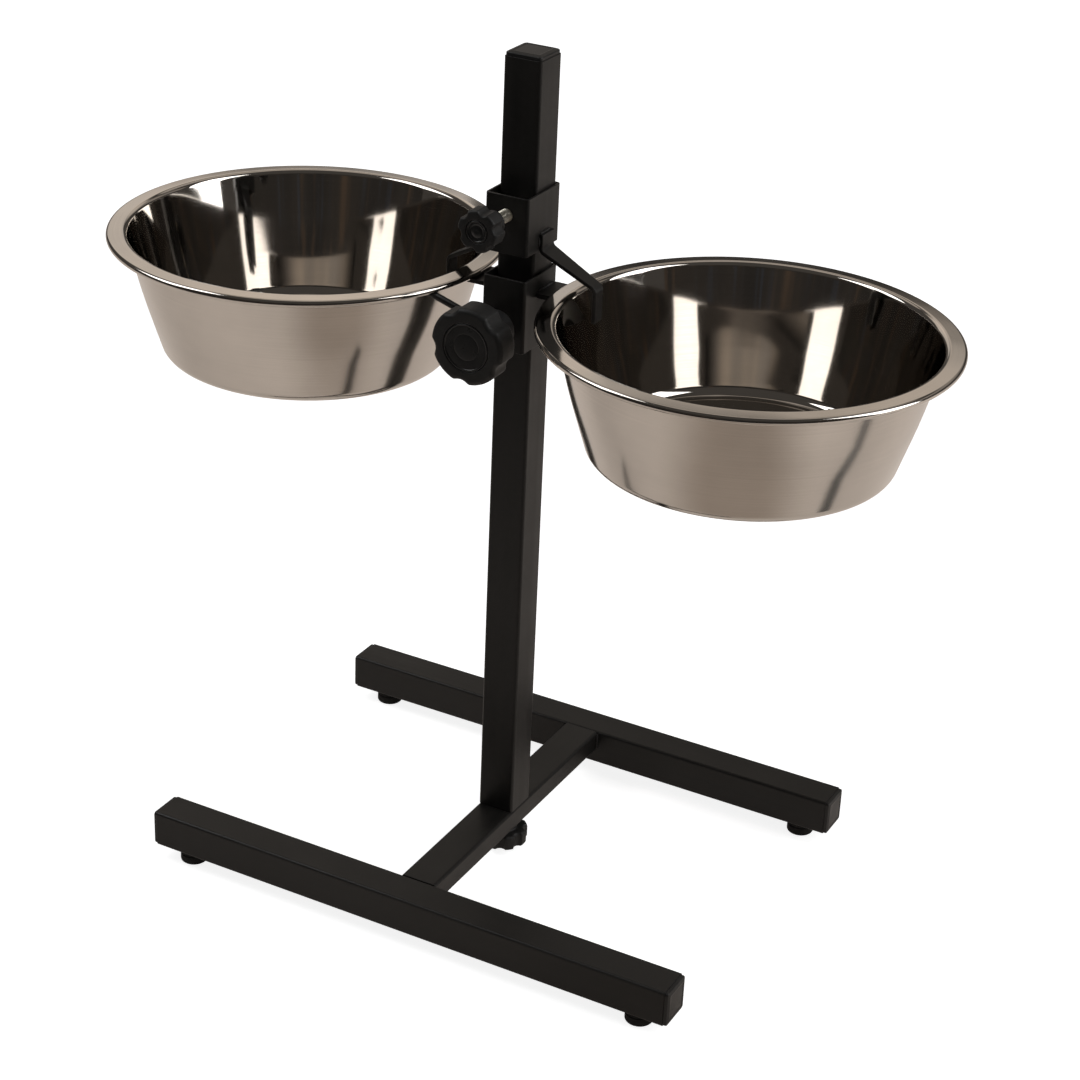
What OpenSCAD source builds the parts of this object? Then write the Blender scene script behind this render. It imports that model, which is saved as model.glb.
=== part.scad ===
// Height-adjustable feeder stand: an H-shaped tube base, a square post, two clamped sleeves and two bowls.
// Millimetres, +Z up. The origin is on the floor under the middle of the post, X runs along the floor bars.

/* [Tube] */
// Outside width of the square tube of the floor bars and the post
tube_w = 25; // [20:0.5:35]
// Wall of the square tube and of the cross bar
tube_wall = 1.5; // [1:0.1:2.5]
// Outside corner radius of every tube
tube_r = 2; // [1.6:0.1:3]

/* [Base] */
// Length of each floor bar without its caps
bar_l = 372; // [320:1:460]
// Clear distance between the two floor bars
bar_gap = 222; // [200:1:300]
// Height of the cross bar
cross_h = 15; // [12:0.5:20]
// Diameter of a rubber foot
foot_d = 18; // [14:0.5:22]
// Height of a rubber foot
foot_h = 10; // [8:0.5:16]
// Rounding of a foot's lower edge
foot_edge = 1.5; // [0.5:0.1:2.5]
// Distance of a foot's middle from the end of its bar
foot_inset = 21; // [15:0.5:40]
// Shank diameter of a foot's screw
foot_screw_d = 4; // [3:0.1:5]
// Head diameter of a foot's screw
foot_head_d = 8; // [6:0.1:9]
// Head height of a foot's screw
foot_head_h = 2.4; // [1.5:0.1:3]
// How far the head of a foot's screw is sunk into the rubber
foot_sink = 4.5; // [3.5:0.1:5.5]
// How far a foot's screw stands inside the bar
foot_screw_in = 5; // [3:0.5:8]

/* [End caps] */
// Thickness of a cap's visible plate
cap_t = 3; // [2:0.1:4]
// How far a cap's plate stays inside the tube's outline
cap_lip = 0.5; // [0.2:0.1:0.8]
// Length of the plug inside the tube
cap_plug = 12; // [6:0.5:18]
// Wall of the plug
cap_wall = 1.6; // [1:0.1:2.5]

/* [Post] */
// Length of the post
post_h = 510; // [460:1:600]
// Height of the threaded block in the foot of the post
post_nut_h = 12; // [8:0.5:20]

/* [Sleeves] */
// Wall of both sleeves
sleeve_wall = 1.5; // [1:0.1:2.5]
// Height of the lower sleeve
lower_sleeve_h = 46; // [42:0.5:60]
// Height of the upper sleeve
upper_sleeve_h = 36; // [28:0.5:48]
// Clear height between the two sleeves
sleeve_gap = 15.5; // [12:0.5:24]
// Room for the nut between the post and a sleeve's front wall
nut_room = 11.7; // [9:0.1:16]

/* [Bowl seats] */
// Height of the seat plates' top above the floor
seat_z = 404; // [380:1:430]
// Depth of the seat plates' top under the lower sleeve's top
seat_drop = 10.5; // [8:0.5:14]
// Thickness of a seat plate
plate_t = 3; // [2:0.1:4]
// How far a seat plate reaches out from its sleeve
plate_l = 24; // [20:0.5:25]
// Width of a seat plate
plate_w = 25; // [20:0.5:28]
// Diameter of a brace rod
brace_d = 4.5; // [4:0.1:5]
// Height of a brace's root under the seat
brace_fall = 24; // [20:0.5:28]
// Distance of a brace's root from the sleeve's front or rear face
brace_inset = 6; // [5:0.1:8]
// How far a brace spreads sideways from root to top
brace_spread = 28; // [24:0.5:30]

/* [Retaining arms] */
// Width of the flat strip at its tab
arm_w = 15; // [12:0.5:18]
// Width of the flat strip at its finger
arm_tip_w = 10; // [8:0.5:11]
// Thickness of the flat strip
arm_t = 2.5; // [1.5:0.1:3]
// Height of the tab on the sleeve
arm_tab = 10.5; // [8:0.5:20]
// How far the sloping part reaches out from the tab
arm_reach = 34.5; // [33:0.5:38]
// How far the sloping part falls
arm_fall = 19; // [14:0.5:20]
// Length of the finger inside the bowl
arm_finger = 21; // [18:0.5:24]
// Radius of the strip's bends, at its middle
arm_bend = 4; // [2.5:0.1:6]
// How far the arms sit behind the middle of the sleeve
arm_back = 2.5; // [0:0.5:5]

/* [Bowls] */
// Diameter over the rolled rim
bowl_d = 250; // [230:1:260]
// Height of a bowl
bowl_h = 81; // [70:0.5:95]
// Sheet thickness
bowl_t = 0.9; // [0.6:0.1:1.2]
// Width of the flat rim
rim_w = 12; // [12:0.5:14]
// Thickness of the rolled edge
rim_roll = 4.4; // [3:0.1:5]
// Radius of the bend between wall and rim, at the sheet's middle
rim_bend = 3.2; // [2:0.1:5]
// Turn of the rolled edge, in degrees
roll_turn = 230; // [180:1:240]
// How far the flat rim falls towards its rolled edge
rim_fall = 0.7; // [0.3:0.1:1]
// Lean of the wall, in degrees
wall_lean = 15.8; // [12:0.1:17]
// How far the wall swells out at half height
wall_swell = 1.2; // [0.5:0.1:2]
// Radius of that swell
swell_bend = 400; // [200:10:500]
// Outside radius of the corner at the bottom
bowl_corner = 10; // [5:0.5:14]
// Distance of the rim from the sleeve
bowl_gap = 12.5; // [10:0.5:14]

/* [Clamp screws] */
// Diameter of all three hand screws
screw_d = 8; // [6:0.1:9]
// Width of a nut across its flats
nut_af = 13; // [11:0.1:15]
// Height of a nut
nut_h = 6.5; // [5:0.1:8]
// Chamfer of a screw's tip
screw_tip = 1; // [0.5:0.1:1.5]
// Depth of the lower screw under its sleeve's top
lower_screw_down = 29.5; // [26:0.5:34]
// Depth of the upper screw under its sleeve's top
upper_screw_down = 12; // [10:0.5:18]
// Bare length of the lower screw between sleeve and knob
lower_bare = 6.3; // [3:0.1:12]
// Bare length of the upper screw between sleeve and knob
upper_bare = 14.3; // [6:0.1:20]

/* [Lower knob] */
// Diameter over the lobes
lower_knob_d = 48; // [42:0.5:56]
// Thickness of the lobed head
lower_knob_t = 18; // [14:0.5:24]
// Diameter of the hub
lower_hub_d = 24; // [18:0.5:30]
// Length of the hub
lower_hub_l = 20; // [12:0.5:26]
// Number of lobes
lower_lobes = 5; // [5:1:8]
// Diameter of the notches between the lobes
lower_notch_d = 16; // [14:0.5:24]
// Depth of the notches
lower_notch = 2.2; // [2:0.1:4.5]
// Turn of the first notch, in degrees
lower_notch_turn = 190; // [0:1:359]
// Rounding of the head's edges
lower_knob_edge = 3; // [1:0.1:4]
// Diameter of the round plate in the face
lower_face_d = 30; // [24:0.5:32]

/* [Upper knob] */
// Diameter over the lobes
upper_knob_d = 26; // [22:0.5:32]
// Thickness of the lobed head
upper_knob_t = 12; // [9:0.5:16]
// Diameter of the hub
upper_hub_d = 15; // [13:0.5:18]
// Length of the hub
upper_hub_l = 9; // [5:0.5:12]
// Number of lobes
upper_lobes = 6; // [5:1:8]
// Diameter of the notches between the lobes
upper_notch_d = 8; // [6:0.5:10]
// Depth of the notches
upper_notch = 2; // [1:0.1:2.4]
// Turn of the first notch, in degrees
upper_notch_turn = 15; // [0:1:359]
// Rounding of the head's edges
upper_knob_edge = 1.8; // [0.8:0.1:2.4]
// Diameter of the round plate in the face
upper_face_d = 14; // [11:0.5:15]

/* [Base knob] */
// Diameter over the lobes
base_knob_d = 33; // [28:0.5:38]
// Thickness of the lobed head
base_knob_t = 10.5; // [8:0.5:11]
// Diameter of the hub
base_hub_d = 18; // [14:0.5:22]
// Length of the hub
base_hub_l = 4; // [2:0.5:4.5]
// Number of lobes
base_lobes = 8; // [5:1:8]
// Diameter of the notches between the lobes
base_notch_d = 8; // [6:0.5:10]
// Depth of the notches
base_notch = 2.4; // [1:0.1:3]
// Turn of the first notch, in degrees
base_notch_turn = 22; // [0:1:359]
// Rounding of the head's edges
base_knob_edge = 2; // [1:0.1:3]
// Diameter of the washer under the cross bar
washer_d = 22; // [18:0.5:24]
// Thickness of that washer
washer_t = 1; // [0.8:0.1:2]

/* [Knob faces] */
// Thickness of the round plates in the knobs' faces
face_t = 1.5; // [1:0.1:2]
// How deep the round plates lie under the knobs' faces
face_sink = 0.5; // [0.2:0.1:0.8]

/* [Fits] */
// Side play between a sleeve and the post, each side
side_play = 0.5; // [0.2:0.1:0.8]
// Play behind the post, between it and a sleeve's rear wall
rear_play = 0.3; // [0.2:0.1:0.8]
// Play of plugs, blocks and plates that are pressed in
push_play = 0.1; // [0.05:0.05:0.3]
// Radial play of a screw in a thread or a knob
thread_play = 0.05; // [0.02:0.01:0.1]
// Radial play of a screw in a plain hole
hole_play = 0.3; // [0.2:0.1:0.6]
// Play between a bowl's rim and its seat
seat_play = 0.3; // [0.2:0.1:0.6]

/* [Hidden] */
$fn = 96;

COATED = "#2e2a28";
PLASTIC = "#242322";
RUBBER = "#1a1918";
STEEL = "#c8c1b8";
ZINC = "#a8a59a";

// Base heights and places
bar_y = (bar_gap + tube_w) / 2;
base_top = foot_h + tube_w;
cross_z = base_top - cross_h;
foot_x = bar_l / 2 - foot_inset;
bore_in = tube_w - 2 * tube_wall;
cut = 1;
bend_steps = 8;

// Sleeves: inside width and depth follow the post, the front keeps room for the nut
sleeve_w = tube_w + 2 * (side_play + sleeve_wall);
sleeve_front = -tube_w / 2 - nut_room - sleeve_wall;
sleeve_rear = tube_w / 2 + rear_play + sleeve_wall;
sleeve_d = sleeve_rear - sleeve_front;
sleeve_y = (sleeve_front + sleeve_rear) / 2;
lower_top = seat_z + seat_drop;
lower_z = lower_top - lower_sleeve_h;
upper_z = lower_top + sleeve_gap;
upper_top = upper_z + upper_sleeve_h;
lower_screw_z = lower_top - lower_screw_down;
upper_screw_z = upper_top - upper_screw_down;

// Bowls: the rolled edge, seen from the bowl's own bottom, sits on the seats
bowl_r = bowl_d / 2;
bowl_x = sleeve_w / 2 + bowl_gap + bowl_r;
roll_z = bowl_h - rim_fall - rim_roll / 2;
bowl_z = seat_z + seat_play - (roll_z - rim_roll / 2);

// Braces: the top of a rod lies under the middle of the rolled edge
brace_y = sleeve_d / 2 - brace_inset;
brace_reach = bowl_x - sqrt(pow(bowl_r - rim_roll / 2, 2) - pow(brace_y + brace_spread, 2)) - sleeve_w / 2;

// A rectangle with round corners, centred
module round_rect(size, r) {
    square([size[0] - 2 * r, size[1]], center = true);
    square([size[0], size[1] - 2 * r], center = true);
    for (x = [-1, 1])
        for (y = [-1, 1])
            translate([x * (size[0] / 2 - r), y * (size[1] / 2 - r)])
                circle(r = r);
}

// A tube's section: outside size, wall and outside corner radius
module tube_section(size, wall, r) {
    difference() {
        round_rect(size, r);
        round_rect([size[0] - 2 * wall, size[1] - 2 * wall], max(r - wall, wall / 4));
    }
}

// Points on an arc around a centre, from angle a through a turn
function arc(centre, r, a, turn) =
    [for (i = [0 : bend_steps]) centre + r * [cos(a + turn * i / bend_steps), sin(a + turn * i / bend_steps)]];

// A corner of a path at q, between p and s, as a bend of radius r
function bend(p, q, s, r) =
    let (u = (p - q) / norm(p - q),
         v = (s - q) / norm(s - q),
         half = acos(u * v) / 2,
         from = q + u * r / tan(half),
         centre = q + (u + v) / norm(u + v) * r / sin(half),
         side = u[1] * v[0] > u[0] * v[1] ? 1 : -1)
    arc(centre, r, atan2(from[1] - centre[1], from[0] - centre[0]), side * (180 - 2 * half));

// Left-hand direction of the run from p to q
function left_of(p, q) = [p[1] - q[1], q[0] - p[0]] / norm(q - p);

// Where the face of a bent sheet lies beside point i of its middle line, one unit away
function beside(line, i) =
    let (last = len(line) - 1,
         before = left_of(line[max(i - 1, 0)], line[max(i, 1)]),
         after = left_of(line[min(i, last - 1)], line[min(i + 1, last)]))
    (before + after) / (1 + before * after);

// Section of a sheet of thickness t, bent along its middle line
module bent_sheet(line, t) {
    last = len(line) - 1;
    polygon(concat([for (i = [0 : last]) line[i] + t / 2 * beside(line, i)],
                   [for (i = [last : -1 : 0]) line[i] - t / 2 * beside(line, i)]));
}

// A floor bar along X, with the holes of its two foot screws
module floor_bar(y) {
    color(COATED)
        translate([0, y, foot_h])
            difference() {
                translate([-bar_l / 2, 0, tube_w / 2])
                    rotate([90, 0, 90])
                        linear_extrude(bar_l)
                            tube_section([tube_w, tube_w], tube_wall, tube_r);
                for (x = [-foot_x, foot_x])
                    translate([x, 0, -cut])
                        cylinder(d = foot_screw_d + 2 * hole_play, h = tube_wall + 2 * cut);
            }
}

module front_bar() {
    floor_bar(-bar_y);
}

module rear_bar() {
    floor_bar(bar_y);
}

module cross_bar() {
    color(COATED)
        translate([0, 0, cross_z])
            difference() {
                translate([0, bar_gap / 2, cross_h / 2])
                    rotate([90, 0, 0])
                        linear_extrude(bar_gap)
                            tube_section([tube_w, cross_h], tube_wall, tube_r);
                translate([0, 0, -cut])
                    cylinder(d = screw_d + 2 * hole_play, h = cross_h + 2 * cut);
            }
}

// A push-in tube cap: its plate lies on z = 0 upwards, its plug hangs down
module tube_cap() {
    plate = tube_w - 2 * cap_lip;
    plug = bore_in - 2 * push_play;
    color(PLASTIC) {
        linear_extrude(cap_t)
            round_rect([plate, plate], tube_r);
        translate([0, 0, -cap_plug])
            linear_extrude(cap_plug)
                tube_section([plug, plug], cap_wall, tube_r / 2);
    }
}

module bar_cap(side, y) {
    translate([side * bar_l / 2, y, foot_h + tube_w / 2])
        rotate([0, side * 90, 0])
            tube_cap();
}

module front_left_cap() {
    bar_cap(-1, -bar_y);
}

module front_right_cap() {
    bar_cap(1, -bar_y);
}

module rear_left_cap() {
    bar_cap(-1, bar_y);
}

module rear_right_cap() {
    bar_cap(1, bar_y);
}

// A round rubber foot with a sunk hole for its screw
module foot(x, y) {
    color(RUBBER)
        translate([x, y, 0])
            difference() {
                rotate_extrude() {
                    square([foot_d / 2 - foot_edge, foot_h]);
                    translate([0, foot_edge])
                        square([foot_d / 2, foot_h - foot_edge]);
                    translate([foot_d / 2 - foot_edge, foot_edge])
                        circle(r = foot_edge);
                }
                translate([0, 0, -cut])
                    cylinder(d = foot_screw_d + 2 * hole_play, h = foot_h + 2 * cut);
                translate([0, 0, -cut])
                    cylinder(d = foot_head_d + 2 * hole_play, h = foot_sink + cut);
            }
}

module front_left_foot() {
    foot(-foot_x, -bar_y);
}

module front_right_foot() {
    foot(foot_x, -bar_y);
}

module rear_left_foot() {
    foot(-foot_x, bar_y);
}

module rear_right_foot() {
    foot(foot_x, bar_y);
}

module foot_screws() {
    color(ZINC)
        for (x = [-foot_x, foot_x])
            for (y = [-bar_y, bar_y])
                translate([x, y, foot_sink]) {
                    cylinder(d = foot_screw_d, h = foot_h - foot_sink + tube_wall + foot_screw_in);
                    translate([0, 0, -foot_head_h])
                        cylinder(d = foot_head_d, h = foot_head_h);
                }
}

module post() {
    color(COATED)
        translate([0, 0, base_top])
            linear_extrude(post_h)
                tube_section([tube_w, tube_w], tube_wall, tube_r);
}

module post_cap() {
    translate([0, 0, base_top + post_h])
        tube_cap();
}

// The block in the foot of the post that takes the base screw
module post_nut() {
    block = bore_in - 2 * push_play;
    color(ZINC)
        translate([0, 0, base_top])
            difference() {
                linear_extrude(post_nut_h)
                    round_rect([block, block], tube_r / 2);
                translate([0, 0, -cut])
                    cylinder(d = screw_d + 2 * thread_play, h = post_nut_h + 2 * cut);
            }
}

// A lobed head with rounded edges: d over the lobes, t thick, standing on z = 0, its first notch at an angle turn
module lobed_head(d, t, edge, lobes, notch_d, notch, turn) {
    rotate(turn)
        difference() {
            rotate(180 / lobes)
                rotate_extrude()
                    polygon(concat([[0, 0]], arc([d / 2 - edge, edge], edge, -90, 90),
                                   arc([d / 2 - edge, t - edge], edge, 0, 90), [[0, t]]));
            for (i = [0 : lobes - 1])
                rotate(i * 360 / lobes)
                    translate([(d + notch_d) / 2 - notch, 0, -cut])
                        cylinder(d = notch_d, h = t + 2 * cut);
        }
}

// A hand knob: its hub starts at z = 0, its head follows, and its bore takes the screw from below
module hand_knob(head, hub_d, hub_l, head_t, face_d) {
    color(PLASTIC)
        difference() {
            union() {
                cylinder(d = hub_d, h = hub_l);
                translate([0, 0, hub_l])
                    lobed_head(head[0], head_t, head[1], head[2], head[3], head[4], head[5]);
            }
            translate([0, 0, -cut])
                cylinder(d = screw_d + 2 * thread_play, h = screw_depth(hub_l, head_t) + push_play + cut);
            if (face_d > 0)
                translate([0, 0, hub_l + head_t - face_t - face_sink])
                    cylinder(d = face_d + 2 * push_play, h = face_t + face_sink + cut);
        }
}

// How far a screw reaches into its knob
function screw_depth(hub_l, head_t) = hub_l + head_t / 2;

// The round plate in a knob's face
module knob_face(hub_l, head_t, face_d) {
    color(PLASTIC)
        translate([0, 0, hub_l + head_t - face_t - face_sink])
            cylinder(d = face_d, h = face_t);
}

// A screw from z = 0, its chamfered tip, up to l
module hand_screw(l) {
    color(ZINC)
        rotate_extrude()
            polygon([[0, 0], [screw_d / 2 - screw_tip, 0], [screw_d / 2, screw_tip], [screw_d / 2, l], [0, l]]);
}

module base_washer() {
    color(ZINC)
        translate([0, 0, cross_z - washer_t])
            difference() {
                cylinder(d = washer_d, h = washer_t);
                translate([0, 0, -cut])
                    cylinder(d = screw_d + 2 * hole_play, h = washer_t + 2 * cut);
            }
}

// Turns a knob or screw made along +Z to hang under the cross bar
module under_base() {
    translate([0, 0, cross_z - washer_t])
        rotate([180, 0, 0])
            children();
}

module base_screw() {
    grip = washer_t + cross_h + post_nut_h;
    under_base()
        translate([0, 0, -grip])
            hand_screw(grip + screw_depth(base_hub_l, base_knob_t));
}

module base_knob() {
    head = [base_knob_d, base_knob_edge, base_lobes, base_notch_d, base_notch, base_notch_turn];
    under_base()
        hand_knob(head, base_hub_d, base_hub_l, base_knob_t, 0);
}

// A sleeve of height h from z, with a hole in its front wall for the screw
module sleeve(z, h, screw_z) {
    color(COATED)
        difference() {
            translate([0, sleeve_y, z])
                linear_extrude(h)
                    tube_section([sleeve_w, sleeve_d], sleeve_wall, tube_r);
            translate([0, sleeve_front - cut, screw_z])
                rotate([-90, 0, 0])
                    cylinder(d = screw_d + 2 * hole_play, h = sleeve_wall + 2 * cut);
        }
}

module lower_sleeve() {
    sleeve(lower_z, lower_sleeve_h, lower_screw_z);
}

module upper_sleeve() {
    sleeve(upper_z, upper_sleeve_h, upper_screw_z);
}

// A hexagon nut on the inside of a sleeve's front wall
module sleeve_nut(screw_z) {
    color(ZINC)
        translate([0, sleeve_front + sleeve_wall, screw_z])
            rotate([-90, 0, 0])
                difference() {
                    cylinder(d = nut_af / cos(30), h = nut_h, $fn = 6);
                    translate([0, 0, -cut])
                        cylinder(d = screw_d + 2 * thread_play, h = nut_h + 2 * cut);
                }
}

module lower_nut() {
    sleeve_nut(lower_screw_z);
}

module upper_nut() {
    sleeve_nut(upper_screw_z);
}

// Turns a knob made along +Z to point forwards, its hub at the end of the bare screw
module before_sleeve(screw_z, bare) {
    translate([0, sleeve_front - bare, screw_z])
        rotate([90, 0, 0])
            children();
}

// A clamp screw from the post's front face into its knob
module clamp_screw(screw_z, bare, hub_l, head_t) {
    reach = nut_room + sleeve_wall + bare;
    before_sleeve(screw_z, bare)
        translate([0, 0, -reach])
            hand_screw(reach + screw_depth(hub_l, head_t));
}

module lower_screw() {
    clamp_screw(lower_screw_z, lower_bare, lower_hub_l, lower_knob_t);
}

module upper_screw() {
    clamp_screw(upper_screw_z, upper_bare, upper_hub_l, upper_knob_t);
}

module lower_knob() {
    head = [lower_knob_d, lower_knob_edge, lower_lobes, lower_notch_d, lower_notch, lower_notch_turn];
    before_sleeve(lower_screw_z, lower_bare)
        hand_knob(head, lower_hub_d, lower_hub_l, lower_knob_t, lower_face_d);
}

module lower_knob_face() {
    before_sleeve(lower_screw_z, lower_bare)
        knob_face(lower_hub_l, lower_knob_t, lower_face_d);
}

module upper_knob() {
    head = [upper_knob_d, upper_knob_edge, upper_lobes, upper_notch_d, upper_notch, upper_notch_turn];
    before_sleeve(upper_screw_z, upper_bare)
        hand_knob(head, upper_hub_d, upper_hub_l, upper_knob_t, upper_face_d);
}

module upper_knob_face() {
    before_sleeve(upper_screw_z, upper_bare)
        knob_face(upper_hub_l, upper_knob_t, upper_face_d);
}

// A seat plate on a side of the lower sleeve
module seat_plate() {
    color(COATED)
        translate([sleeve_w / 2, -plate_w / 2, seat_z - plate_t])
            cube([plate_l, plate_w, plate_t]);
}

module right_plate() {
    seat_plate();
}

module left_plate() {
    mirror([1, 0, 0])
        seat_plate();
}

// The right-hand brace rod, from the sleeve's side near its rear up to the bowl's rolled edge
module brace() {
    root = [sleeve_w / 2, sleeve_y + brace_y, seat_z - brace_fall];
    run = [brace_reach, brace_spread, brace_fall];
    span = norm(run);
    color(COATED)
        intersection() {
            translate(root)
                rotate([0, acos(run[2] / span), atan2(run[1], run[0])])
                    rotate(90)
                        translate([0, 0, -brace_d])
                            cylinder(d = brace_d, h = span + 2 * brace_d);
            translate([sleeve_w / 2, sleeve_y, seat_z - 2 * brace_fall])
                cube([2 * brace_reach, 2 * (brace_y + brace_spread), 2 * brace_fall]);
        }
}

module right_brace() {
    brace();
}

// The left-hand rod is the same one, turned half round the sleeve's middle: it stands near the front
module left_brace() {
    translate([0, 2 * sleeve_y, 0])
        rotate(180)
            brace();
}

// The right-hand retaining arm: a tab on the upper sleeve, a tapering slope over the rim and a finger into the bowl
module retaining_arm() {
    top = [(sleeve_w + arm_t) / 2, upper_z + arm_tab];
    root = [top[0], upper_z];
    elbow = [top[0] + arm_reach, upper_z - arm_fall];
    tip = [elbow[0], elbow[1] - arm_finger];
    rear = sleeve_y + arm_back + arm_w / 2;
    taper = [[top[0] + arm_t, rear - arm_w], [elbow[0] - arm_t, rear - arm_tip_w],
             [elbow[0] + arm_t, rear - arm_tip_w], [elbow[0] + arm_t, rear - 2 * arm_w],
             [top[0] + arm_t, rear - 2 * arm_w]];
    color(COATED)
        difference() {
            translate([0, rear, 0])
                rotate([90, 0, 0])
                    linear_extrude(arm_w)
                        bent_sheet(concat([top], bend(top, root, elbow, arm_bend),
                                          bend(root, elbow, tip, arm_bend), [tip]), arm_t);
            translate([0, 0, tip[1] - arm_t])
                linear_extrude(top[1] - tip[1] + 2 * arm_t)
                    polygon(taper);
        }
}

module right_arm() {
    retaining_arm();
}

module left_arm() {
    mirror([1, 0, 0])
        retaining_arm();
}

// Section of a bowl: flat bottom, round corner, leaning wall, flat rim and rolled edge
module bowl_section() {
    middle = [0, bowl_t / 2];
    rim_in = [bowl_r - rim_w, bowl_h - bowl_t / 2];
    corner = [rim_in[0] - (rim_in[1] - middle[1]) * tan(wall_lean), middle[1]];
    knee = (corner + rim_in) / 2 + wall_swell * [cos(wall_lean), -sin(wall_lean)];
    roll = [bowl_r - rim_roll / 2, roll_z];
    roll_top = [roll[0], rim_in[1] - rim_fall];
    bent_sheet(concat([middle], bend(middle, corner, knee, bowl_corner - bowl_t / 2),
                      bend(corner, knee, rim_in, swell_bend),
                      bend(knee, rim_in, roll_top, rim_bend),
                      arc(roll, (rim_roll - bowl_t) / 2, 90, -roll_turn)), bowl_t);
}

module bowl(side) {
    color(STEEL)
        translate([side * bowl_x, sleeve_y, bowl_z])
            rotate_extrude()
                bowl_section();
}

module left_bowl() {
    bowl(-1);
}

module right_bowl() {
    bowl(1);
}

front_bar();
rear_bar();
cross_bar();
front_left_cap();
front_right_cap();
rear_left_cap();
rear_right_cap();
front_left_foot();
front_right_foot();
rear_left_foot();
rear_right_foot();
foot_screws();
post();
post_cap();
post_nut();
base_washer();
base_screw();
base_knob();
lower_sleeve();
left_plate();
right_plate();
left_brace();
right_brace();
lower_nut();
lower_screw();
lower_knob();
lower_knob_face();
upper_sleeve();
left_arm();
right_arm();
upper_nut();
upper_screw();
upper_knob();
upper_knob_face();
left_bowl();
right_bowl();
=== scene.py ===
"""Looks of the height-adjustable feeder stand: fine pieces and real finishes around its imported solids.

Metres, in the frame of the solids: +Z up, the origin on the floor under the post, +X along the floor bars.
"""

from functools import partialmethod
from math import acos, atan2, copysign, cos, hypot, pi, radians, sin, sqrt, tan, tau
from types import SimpleNamespace

import bmesh
import bpy
from mathutils import Matrix, Quaternion, Vector


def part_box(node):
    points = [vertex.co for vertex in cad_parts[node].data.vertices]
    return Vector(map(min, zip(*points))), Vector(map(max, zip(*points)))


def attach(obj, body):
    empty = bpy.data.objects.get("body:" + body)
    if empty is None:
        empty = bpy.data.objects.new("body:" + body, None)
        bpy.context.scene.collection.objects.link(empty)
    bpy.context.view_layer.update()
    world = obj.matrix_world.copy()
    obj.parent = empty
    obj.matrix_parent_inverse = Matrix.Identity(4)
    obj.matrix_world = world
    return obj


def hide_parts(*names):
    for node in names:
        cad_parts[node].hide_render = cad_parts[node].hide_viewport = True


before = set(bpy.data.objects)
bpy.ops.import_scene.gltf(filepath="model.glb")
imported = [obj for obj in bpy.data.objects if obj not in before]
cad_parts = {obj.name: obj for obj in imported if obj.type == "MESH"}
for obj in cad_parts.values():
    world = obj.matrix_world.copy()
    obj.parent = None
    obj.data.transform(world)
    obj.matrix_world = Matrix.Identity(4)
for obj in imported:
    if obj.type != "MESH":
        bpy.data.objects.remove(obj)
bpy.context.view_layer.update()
scene = bpy.context.scene
mm = 0.001


def knob_sizes(lobes, turn, **sizes):
    """Lobes of a hand knob, the turn of its notches in degrees and its sizes in millimetres."""
    return SimpleNamespace(lobes=lobes, turn=turn, **{name: size * mm for name, size in sizes.items()})


# Sheet and tube
TUBE_SIDE = 25 * mm
TUBE_WALL = 1.5 * mm
TUBE_CORNER = 2 * mm
RIM_ROUND = 0.35 * mm
CORNER_STEPS = 8

# End caps
CAP_SIDE = 24 * mm
CAP_PLATE = 3 * mm
CAP_EDGE = 0.8 * mm
CAP_PLUG = 12 * mm
CAP_PLAY = 0.1 * mm
CAP_WALL = 1.6 * mm
CAP_BAND = 2.6 * mm
CAP_GROOVE = 0.35 * mm

# Feet and their screws
FOOT_EDGE = 1.5 * mm
FOOT_SCREW = 4 * mm
FOOT_HEAD = 8 * mm
FOOT_HEAD_H = 2.4 * mm
FOOT_RECESS = 8.6 * mm

# Hand screws: coarse 8 mm thread
SCREW = 8 * mm
SCREW_TIP = 1 * mm
PITCH = 1.25 * mm
THREAD_DEPTH = 0.55 * mm
NUT_FLATS = 13 * mm
SCREW_HOLE = 8.6 * mm

# Hand knobs: hub, head, lobes, notches and the plate in the face
LOWER_KNOB = knob_sizes(5, 190, hub_d=24, hub_l=20, head_d=48, head_t=18, edge=3,
                        notch_d=16, notch=2.2, face_d=30)
UPPER_KNOB = knob_sizes(6, 15, hub_d=15, hub_l=9, head_d=26, head_t=12, edge=1.8,
                        notch_d=8, notch=2, face_d=14)
BASE_KNOB = knob_sizes(8, 22, hub_d=18, hub_l=4, head_d=33, head_t=10.5, edge=2,
                       notch_d=8, notch=2.4, face_d=0)
FACE_SEAT = 2 * mm
FACE_SINK = 0.5 * mm
FACE_LIP = 0.8 * mm
FACE_BEAD = 0.7 * mm

# Bowl seats and retaining arms
BRACE = 4.5 * mm
BRACE_FALL = 24 * mm
BRACE_INSET = 6 * mm
BRACE_SPREAD = 28 * mm
ARM_T = 2.5 * mm
ARM_TAPER = 5 * mm
ARM_FINGER = 21 * mm
ARM_BEND = 4 * mm

# Weld beads: length of a ripple, share of its depth
BEAD_RIPPLE = 1.5 * mm
RIPPLE_DEPTH = 0.22

# Bowls
BOWL_SHEET = 0.9 * mm
BOWL_CORNER = 9.55 * mm
RIM_WIDTH = 12 * mm
RIM_BEND = 3.2 * mm
RIM_FALL = 0.7 * mm
RIM_ROLL = 4.4 * mm
ROLL_TURN = 230
WALL_LEAN = 15.8
WALL_SWELL = 1.2 * mm
SWELL_BEND = 400 * mm
STEEL = (0.56, 0.525, 0.485, 1)

# Names in the order of their pieces
CORNERS = [f"{row}_{side}" for row in ("front", "rear") for side in ("left", "right")]
SIDES = (("left", -1), ("right", 1))

# Camera of the photo: place, azimuth, elevation and roll in degrees, lens and sensor in mm
CAMERA_AT = (0.6800, -1.2733, 0.9560)
CAMERA_TURN = (27.455, 26.692, 2.515)
CAMERA_LENS = 84.838
CAMERA_SENSOR = 36

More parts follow.
